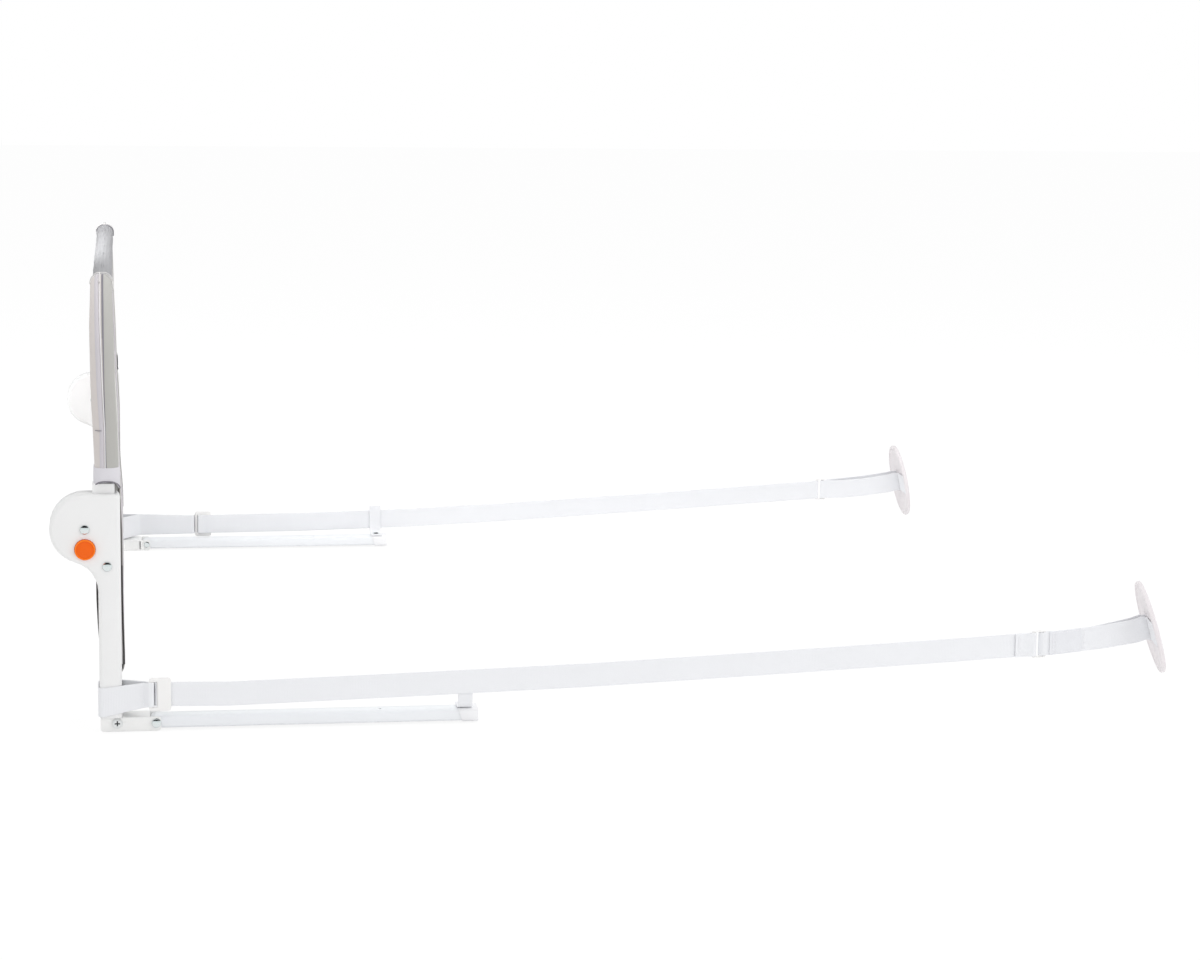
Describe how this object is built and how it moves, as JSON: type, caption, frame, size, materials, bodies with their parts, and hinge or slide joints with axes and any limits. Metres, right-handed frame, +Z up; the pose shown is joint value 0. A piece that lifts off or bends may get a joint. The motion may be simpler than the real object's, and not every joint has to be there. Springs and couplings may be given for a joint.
{
  "type": "folding bed guard rail",
  "caption": "Fabric-covered bed guard rail that swings down on button-release hubs, with folding under-mattress arms and webbing straps that end in round anchor plates.",
  "frame": {"origin": "on the floor plane, under the middle of the bounding box", "axes": "+Z up, +X across the bed in the direction that the arms and straps point, Y along the rail with the end nearer the camera at -Y"},
  "size_m": [1.1758, 1.2014, 0.45],
  "materials": {
    "moulding": "satin",
    "bracket": "satin",
    "rotor": "satin",
    "button": "gloss",
    "glide": "satin",
    "plate": "satin",
    "end_cap": "satin",
    "webbing": "woven",
    "cover": "woven",
    "tube": "gloss",
    "rivet": "polished",
    "spring": "plain"
  },
  "bodies": {
    "base": {"lower_bar": "tube", "cover_lower": "cover", "near_leg_front_shell": "moulding", "near_leg_back_shell": "moulding", "near_hub_rivet": "rivet", "near_leg_rivet": "rivet", "near_button_spring": "spring", "near_post": "tube", "near_corner_bracket": "bracket", "near_bracket_screw": "rivet", "near_arm_rivet": "rivet", "near_leg_loop": "webbing", "near_strap": "webbing", "near_plate_loop": "webbing", "near_strap_slider": "glide", "near_strap_adjuster": "glide", "near_anchor_plate": "plate", "far_leg_front_shell": "moulding", "far_leg_back_shell": "moulding", "far_hub_rivet": "rivet", "far_leg_rivet": "rivet", "far_button_spring": "spring", "far_post": "tube", "far_corner_bracket": "bracket", "far_bracket_screw": "rivet", "far_arm_rivet": "rivet", "far_leg_loop": "webbing", "far_strap": "webbing", "far_plate_loop": "webbing", "far_strap_slider": "glide", "far_strap_adjuster": "glide", "far_anchor_plate": "plate"},
    "upper_frame": {"near_hub_rotor": "rotor", "far_hub_rotor": "rotor", "near_side_tube": "tube", "far_side_tube": "tube", "top_middle_tube": "tube", "cover_upper": "cover"},
    "near_button": {"near_release_button": "button"},
    "far_button": {"far_release_button": "button"},
    "near_arm": {"near_arm_tube": "tube", "near_arm_end_cap": "end_cap", "near_strap_keeper": "webbing", "near_keeper_rivet": "rivet"},
    "far_arm": {"far_arm_tube": "tube", "far_arm_end_cap": "end_cap", "far_strap_keeper": "webbing", "far_keeper_rivet": "rivet"}
  },
  "joints": [
    {"name": "frame_swing", "type": "hinge", "parent": "base", "child": "upper_frame", "pos_m": [-0.55298, 0, 0.207], "axis": [0, -1, 0], "range_deg": [0, 180]},
    {"name": "near_button_press", "type": "slide", "parent": "base", "child": "near_button", "axis": [0, 1, 0], "range_m": [0, 0.0035], "stiffness_N_per_m": 600, "springref_m": -0.003, "deforming": ["near_button_spring"]},
    {"name": "far_button_press", "type": "slide", "parent": "base", "child": "far_button", "axis": [0, -1, 0], "range_m": [0, 0.0035], "stiffness_N_per_m": 600, "springref_m": -0.003, "deforming": ["far_button_spring"]},
    {"name": "near_arm_fold", "type": "hinge", "parent": "base", "child": "near_arm", "pos_m": [-0.48418, -0.53236, 0.0079], "axis": [0, -1, 0], "range_deg": [0, 90]},
    {"name": "far_arm_fold", "type": "hinge", "parent": "base", "child": "far_arm", "pos_m": [-0.48418, 0.53184, 0.0079], "axis": [0, -1, 0], "range_deg": [0, 90]}
  ]
}
